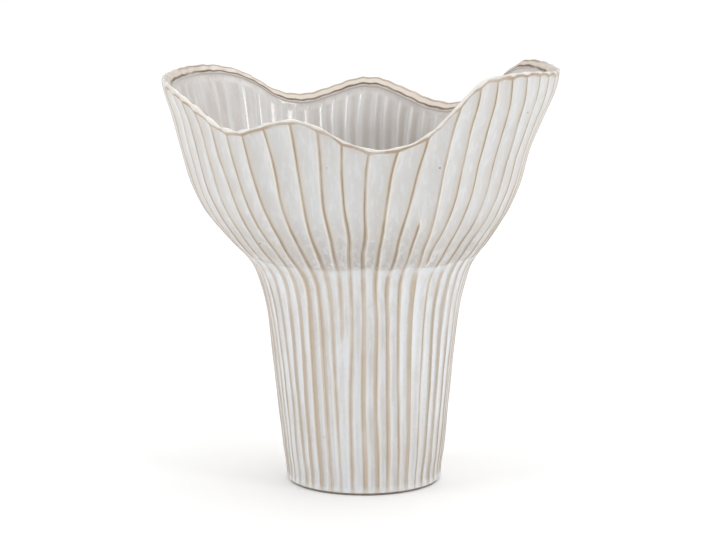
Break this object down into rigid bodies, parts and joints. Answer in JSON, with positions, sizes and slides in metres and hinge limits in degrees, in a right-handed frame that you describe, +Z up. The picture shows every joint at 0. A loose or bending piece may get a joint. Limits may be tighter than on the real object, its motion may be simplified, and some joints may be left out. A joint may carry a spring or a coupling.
{
  "type": "fan vase",
  "caption": "Tall fluted ceramic vase: a tapering ribbed stem opens into a wide bowl with a waved, rolled rim, holding flowers or standing as decoration.",
  "frame": {"origin": "middle of the foot, on the plane that the vase stands on", "axes": "+Z up; the pictured front looks along -Y, with +X to its right"},
  "size_m": [0.2592, 0.2445, 0.2814],
  "materials": {
    "glaze": "glossy off-white glaze that breaks to tan over the edges",
    "bare_clay": "unglazed fired stoneware"
  },
  "bodies": {
    "root": {"foot_ring": "bare_clay", "floor_slab": "glaze", "stem_wall": "glaze", "bowl_wall": "glaze", "rim_lip": "glaze"}
  },
  "joints": []
}
